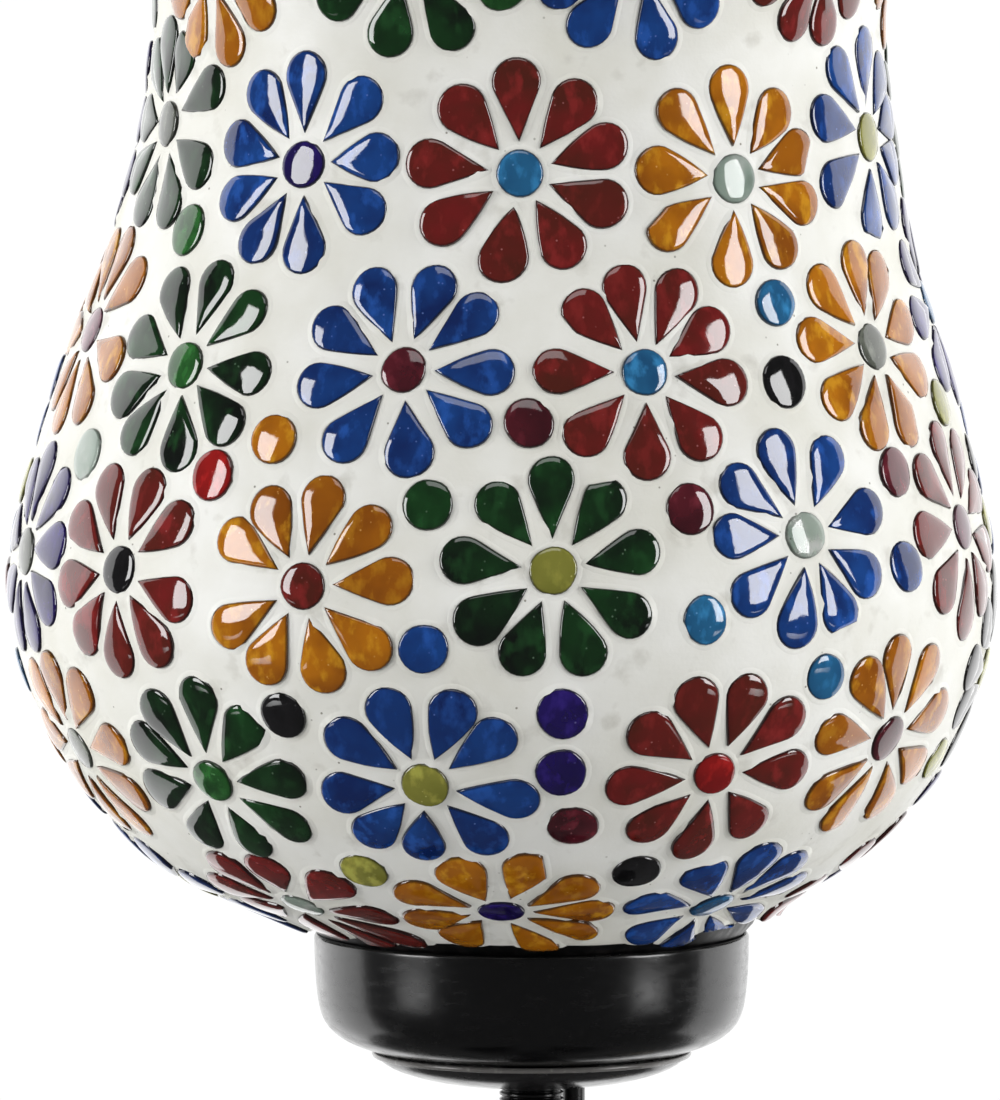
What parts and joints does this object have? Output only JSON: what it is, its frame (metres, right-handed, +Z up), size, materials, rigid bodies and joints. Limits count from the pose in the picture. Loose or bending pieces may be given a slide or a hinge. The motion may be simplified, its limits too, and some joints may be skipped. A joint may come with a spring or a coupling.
{
  "type": "mosaic glass table lamp",
  "caption": "Table lamp with a pear-shaped glass mosaic shade standing loose in a black metal cup on a slim stem and round base, with bulb, lead, in-line switch and plug.",
  "frame": {"origin": "centre of the round base's underside, on the stem's axis", "axes": "+Z up along the stem, +X to the lamp's right as seen from its front, -Y to the front; the lead leaves at the back, +Y"},
  "size_m": [0.1558, 0.215, 0.342],
  "materials": {
    "black_enamel": "semi-gloss black enamel",
    "cast_iron": "rough as cast",
    "plated_steel": "zinc or nickel plated",
    "brass": "plain",
    "felt": "black felt",
    "black_plastic": "moulded, satin",
    "white_plastic": "moulded, semi-gloss",
    "ceramic": "glazed",
    "black_sheath": "smooth flexible sheath",
    "brown_insulation": "smooth",
    "blue_insulation": "smooth",
    "clear_glass": "clear, polished",
    "chip_glass": "deeply coloured, domed, glossy",
    "grout": "matte white cement grout"
  },
  "bodies": {
    "stand": {"base_pad": "felt", "base_dome": "black_enamel", "base_weight": "cast_iron", "base_washer": "plated_steel", "base_nut": "plated_steel", "base_hub": "black_enamel", "stem_pipe": "black_enamel", "lead_clip_upper": "black_plastic", "lead_clip_lower": "black_plastic", "gallery_cup": "black_enamel", "gallery_saucer": "black_enamel", "lead_bush": "black_plastic", "cup_washer": "plated_steel", "cup_nut": "plated_steel", "holder_cap": "white_plastic", "holder_skirt": "white_plastic", "holder_insert": "ceramic", "screw_shell": "brass", "centre_contact": "brass", "terminal_live": "brass", "terminal_neutral": "brass", "terminal_screw_live": "plated_steel", "terminal_screw_neutral": "plated_steel", "core_live": "brown_insulation", "core_neutral": "blue_insulation", "lead_drop": "black_sheath", "lead_link": "black_sheath", "lead_coil": "black_sheath", "lead_tail": "black_sheath", "coil_tie": "black_plastic", "switch_base": "black_plastic", "switch_cover": "black_plastic", "switch_contact_in": "brass", "switch_contact_out": "brass", "switch_screw": "plated_steel", "plug_relief": "black_plastic", "plug_body": "black_plastic", "plug_pin_left": "plated_steel", "plug_pin_right": "plated_steel"},
    "shade": {"glass_vase": "clear_glass", "mosaic_skin": "grout"},
    "bulb_carrier": {"bulb_contact": "plated_steel"},
    "bulb": {"bulb_glass": "clear_glass", "bulb_cap": "brass", "bulb_insulator": "black_plastic", "bulb_mount": "clear_glass", "filament_support_left": "plated_steel", "filament_support_right": "plated_steel", "filament": "plated_steel"},
    "rocker": {"switch_rocker": "black_plastic"}
  },
  "joints": [
    {"name": "shade_lift", "type": "slide", "parent": "stand", "child": "shade", "axis": [0, 0, 1], "range_m": [0, 0.11]},
    {"name": "bulb_rise", "type": "slide", "parent": "stand", "child": "bulb_carrier", "axis": [0, 0, 1], "range_m": [0, 0.0114]},
    {"name": "bulb_turn", "type": "hinge", "parent": "bulb_carrier", "child": "bulb", "pos_m": [0, 0, 0.185], "axis": [0, 0, 1], "range_deg": [0, 1440]},
    {"name": "rocker_tilt", "type": "hinge", "parent": "stand", "child": "rocker", "pos_m": [0.024, 0.086, 0.0106], "axis": [0, -1, 0], "range_deg": [0, 16]}
  ],
  "couplings": [
    {"joint": "bulb_rise", "follows": "bulb_turn", "m_per_rad": 0.00044882}
  ]
}
